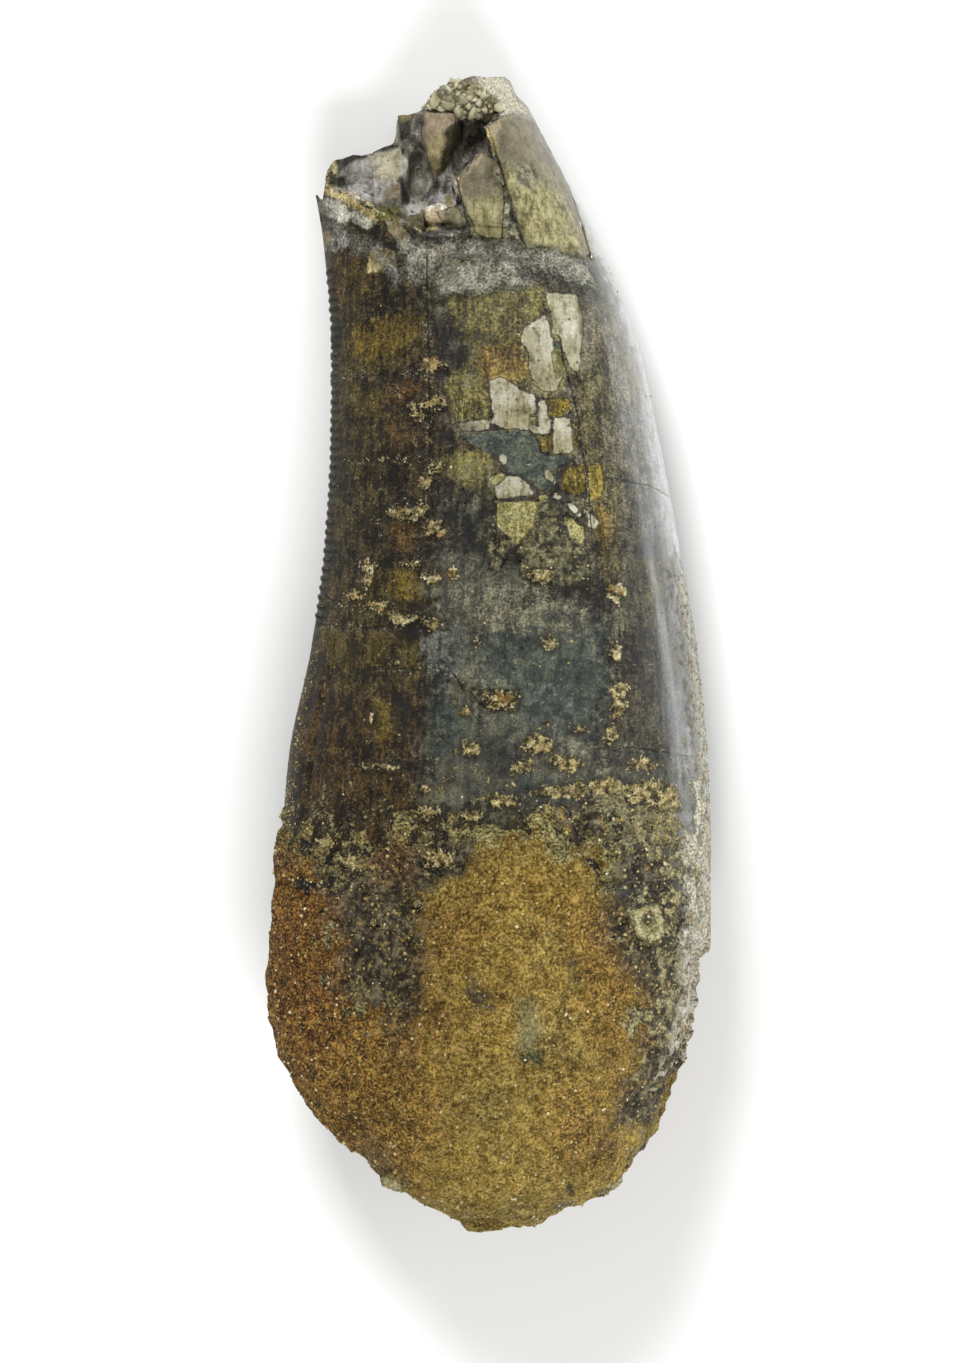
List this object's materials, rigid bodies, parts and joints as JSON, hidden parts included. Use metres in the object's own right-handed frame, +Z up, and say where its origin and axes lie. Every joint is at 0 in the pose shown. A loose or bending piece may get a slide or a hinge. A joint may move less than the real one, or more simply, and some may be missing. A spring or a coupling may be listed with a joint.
{
  "type": "fossil torvosaurus tooth",
  "caption": "Curved, flattened fossil tooth with a serrated edge, a thick rounded edge, a broken tip and sandstone round its root end, lying on its flatter side.",
  "frame": {"origin": "on the surface the tooth lies on, under the middle of its bounding box", "axes": "+Y along the tooth from the root end to the broken tip, +X towards the thick convex edge, +Z up"},
  "size_m": [0.0328, 0.084, 0.0171],
  "materials": {
    "tooth": "glossy dark brown, olive and blue-grey enamel with pale dentine where it has flaked",
    "sandstone_matrix": "matte, rough golden-ochre sandstone"
  },
  "bodies": {
    "root": {"tooth": "tooth", "sandstone_matrix": "sandstone_matrix"}
  },
  "joints": []
}
